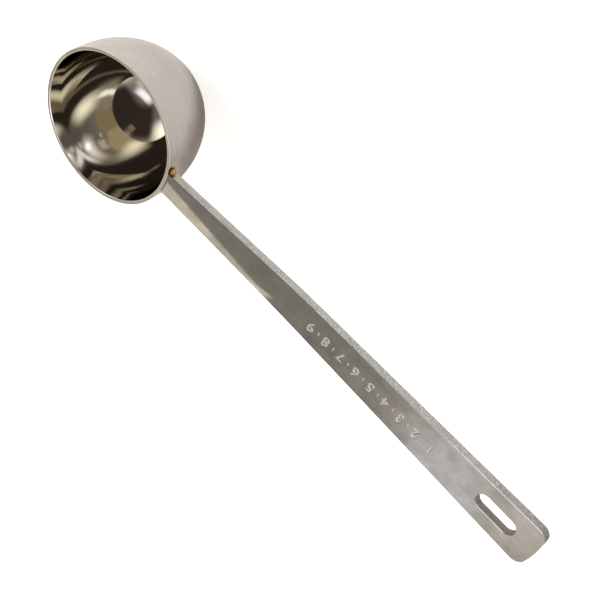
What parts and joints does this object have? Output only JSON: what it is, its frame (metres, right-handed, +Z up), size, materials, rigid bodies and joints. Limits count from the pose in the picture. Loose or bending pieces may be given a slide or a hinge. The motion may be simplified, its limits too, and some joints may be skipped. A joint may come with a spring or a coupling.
{
  "type": "coffee scoop",
  "caption": "Stainless steel coffee scoop: deep round bowl welded to a long flat handle that widens to a rounded end with a hanging slot.",
  "frame": {"origin": "on the surface that the bowl's bottom stands on, under the middle of the scoop's length", "axes": "+Z up, along the bowl's axis out of its mouth; +X along the handle, from the bowl towards its slotted end; +Y across the handle"},
  "size_m": [0.1448, 0.036, 0.0236],
  "materials": {
    "bowl_steel": "deep-drawn stainless sheet, polished inside and satin brushed outside",
    "handle_steel": "blanked stainless strip, satin polished with eased edges",
    "weld_steel": "small weld bead with a straw to brown heat tint"
  },
  "bodies": {
    "root": {"bowl": "bowl_steel", "handle": "handle_steel", "weld_tack_right": "weld_steel", "weld_tack_left": "weld_steel"}
  },
  "joints": []
}
